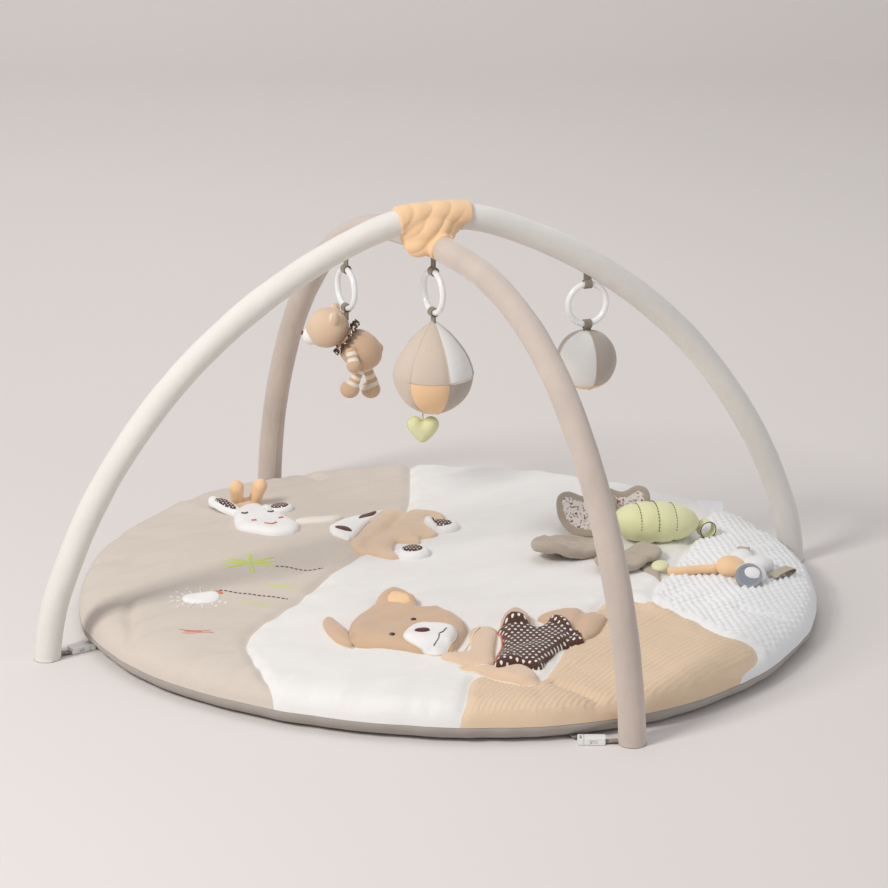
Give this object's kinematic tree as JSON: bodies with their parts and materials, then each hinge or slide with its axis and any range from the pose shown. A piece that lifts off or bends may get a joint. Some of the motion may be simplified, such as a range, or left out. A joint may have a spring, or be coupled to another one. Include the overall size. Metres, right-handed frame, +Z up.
{
  "type": "activity play gym",
  "caption": "Round padded baby play mat with patchwork panels and soft toys, under two crossing padded arches that buckle to its edge and carry hanging toys on rings.",
  "frame": {"origin": "on the floor, at the centre of the four feet, under the crown where the arches cross", "axes": "+X along the white arch towards its right foot, +Y towards the back, +Z up"},
  "size_m": [1.012, 1.0062, 0.5154],
  "materials": {
    "grey_cotton": "matte",
    "wadding": "matte",
    "beige_cotton": "matte",
    "white_velour": "matte",
    "tan_corduroy": "matte",
    "white_bubble_plush": "matte",
    "tan_plush": "matte",
    "brown_dotted_cotton": "matte",
    "pale_plush": "matte",
    "lime_velour": "matte",
    "taupe_fabric": "matte",
    "taupe_velvet": "matte",
    "peach_fabric": "matte",
    "ivory_velour": "matte",
    "mirror": "polished",
    "silver_trim": "gloss",
    "ribbon": "matte",
    "white_satin": "satin",
    "white_acetal": "satin",
    "webbing": "matte",
    "foam": "matte",
    "glass_fibre": "satin",
    "steel": "satin",
    "end_cap_plastic": "matte",
    "ring_plastic": "gloss",
    "movement_plastic": "matte",
    "white_cord": "matte"
  },
  "bodies": {
    "root": {"bear_head": "tan_plush", "bear_limbs": "tan_plush", "bear_shorts": "brown_dotted_cotton", "bug_body": "lime_velour", "bug_tail_loop": "lime_velour", "bug_wings": "taupe_fabric", "care_label": "white_satin", "crown_wrap": "peach_fabric", "flower_mirror": "mirror", "flower_toy": "peach_fabric", "giraffe_body": "tan_plush", "giraffe_ears": "pale_plush", "giraffe_head": "pale_plush", "giraffe_soles": "pale_plush", "mat_tabs": "webbing", "mat_underside": "grey_cotton", "mat_wadding": "wadding", "mirror_rim": "silver_trim", "panel_beige": "beige_cotton", "panel_bubble": "white_bubble_plush", "panel_corduroy": "tan_corduroy", "panel_white": "white_velour", "ribbon_tags": "ribbon", "white_cover": "ivory_velour", "white_end_caps": "end_cap_plastic", "white_ferrule": "steel", "white_foam": "foam", "white_foot_straps": "webbing", "white_hangers": "webbing", "white_rods": "glass_fibre", "white_tongues": "white_acetal"},
    "taupe_arch": {"taupe_cover": "taupe_velvet", "taupe_foam": "foam", "taupe_rods": "glass_fibre", "taupe_ferrule": "steel", "taupe_end_caps": "end_cap_plastic", "crown_tail": "peach_fabric", "taupe_hangers": "webbing", "taupe_tongues": "white_acetal", "taupe_foot_straps": "webbing"},
    "ring_left": {"ring_left": "ring_plastic"},
    "ring_middle": {"ring_middle": "ring_plastic"},
    "ring_right": {"ring_right": "ring_plastic"},
    "hanging_bear": {"bear_toy_head": "tan_plush", "bear_toy_body": "tan_plush", "bear_toy_limbs": "tan_plush", "bear_toy_scarf": "brown_dotted_cotton", "top_loop_left": "webbing"},
    "music_ball": {"music_ball": "taupe_velvet", "music_movement": "movement_plastic", "top_loop_middle": "webbing", "pull_cord": "white_cord"},
    "heart": {"heart": "lime_velour"},
    "small_ball": {"small_ball": "taupe_velvet", "rattle": "movement_plastic", "top_loop_right": "webbing"},
    "buckle_left": {"buckle_left": "white_acetal"},
    "buckle_right": {"buckle_right": "white_acetal"},
    "buckle_front": {"buckle_front": "white_acetal"},
    "buckle_back": {"buckle_back": "white_acetal"}
  },
  "joints": [
    {"name": "crown_scissor", "type": "hinge", "parent": "root", "child": "taupe_arch", "pos_m": [0, 0, 0.48], "axis": [0, 0, 1], "range_deg": [-70, 60]},
    {"name": "ring_left_swing", "type": "hinge", "parent": "taupe_arch", "child": "ring_left", "pos_m": [-0.02645, 0.24156, 0.37402], "axis": [-0.1089, 0.9941, 0], "range_deg": [-30, 30]},
    {"name": "bear_swing", "type": "hinge", "parent": "ring_left", "child": "hanging_bear", "pos_m": [-0.02645, 0.24156, 0.32362], "axis": [-0.1089, 0.9941, 0], "range_deg": [-30, 30]},
    {"name": "ring_middle_swing", "type": "hinge", "parent": "taupe_arch", "child": "ring_middle", "pos_m": [0, 0, 0.4288], "axis": [-0.1089, 0.9941, 0], "range_deg": [-30, 30]},
    {"name": "music_ball_swing", "type": "hinge", "parent": "ring_middle", "child": "music_ball", "pos_m": [0, 0, 0.3784], "axis": [-0.1089, 0.9941, 0], "range_deg": [-30, 30]},
    {"name": "ring_right_swing", "type": "hinge", "parent": "root", "child": "ring_right", "pos_m": [0.201, 0, 0.39393], "axis": [1, 0, 0], "range_deg": [-30, 30]},
    {"name": "small_ball_swing", "type": "hinge", "parent": "ring_right", "child": "small_ball", "pos_m": [0.201, 0, 0.34353], "axis": [1, 0, 0], "range_deg": [-30, 30]},
    {"name": "heart_pull", "type": "slide", "parent": "music_ball", "child": "heart", "axis": [0, 0, -1], "range_m": [0, 0.12], "stiffness_N_per_m": 8, "springref_m": -0.03, "deforming": ["pull_cord"]},
    {"name": "buckle_left_release", "type": "slide", "parent": "root", "child": "buckle_left", "axis": [-0.9703, -0.2419, 0], "range_m": [0, 0.01], "deforming": ["white_foot_straps"]},
    {"name": "buckle_right_release", "type": "slide", "parent": "root", "child": "buckle_right", "axis": [0.4695, -0.8829, 0], "range_m": [0, 0.01], "deforming": ["white_foot_straps"]},
    {"name": "buckle_front_release", "type": "slide", "parent": "taupe_arch", "child": "buckle_front", "axis": [0.9288, -0.3706, 0], "range_m": [0, 0.01], "deforming": ["taupe_foot_straps"]},
    {"name": "buckle_back_release", "type": "slide", "parent": "taupe_arch", "child": "buckle_back", "axis": [0.8266, 0.5628, 0], "range_m": [0, 0.01], "deforming": ["taupe_foot_straps"]}
  ]
}
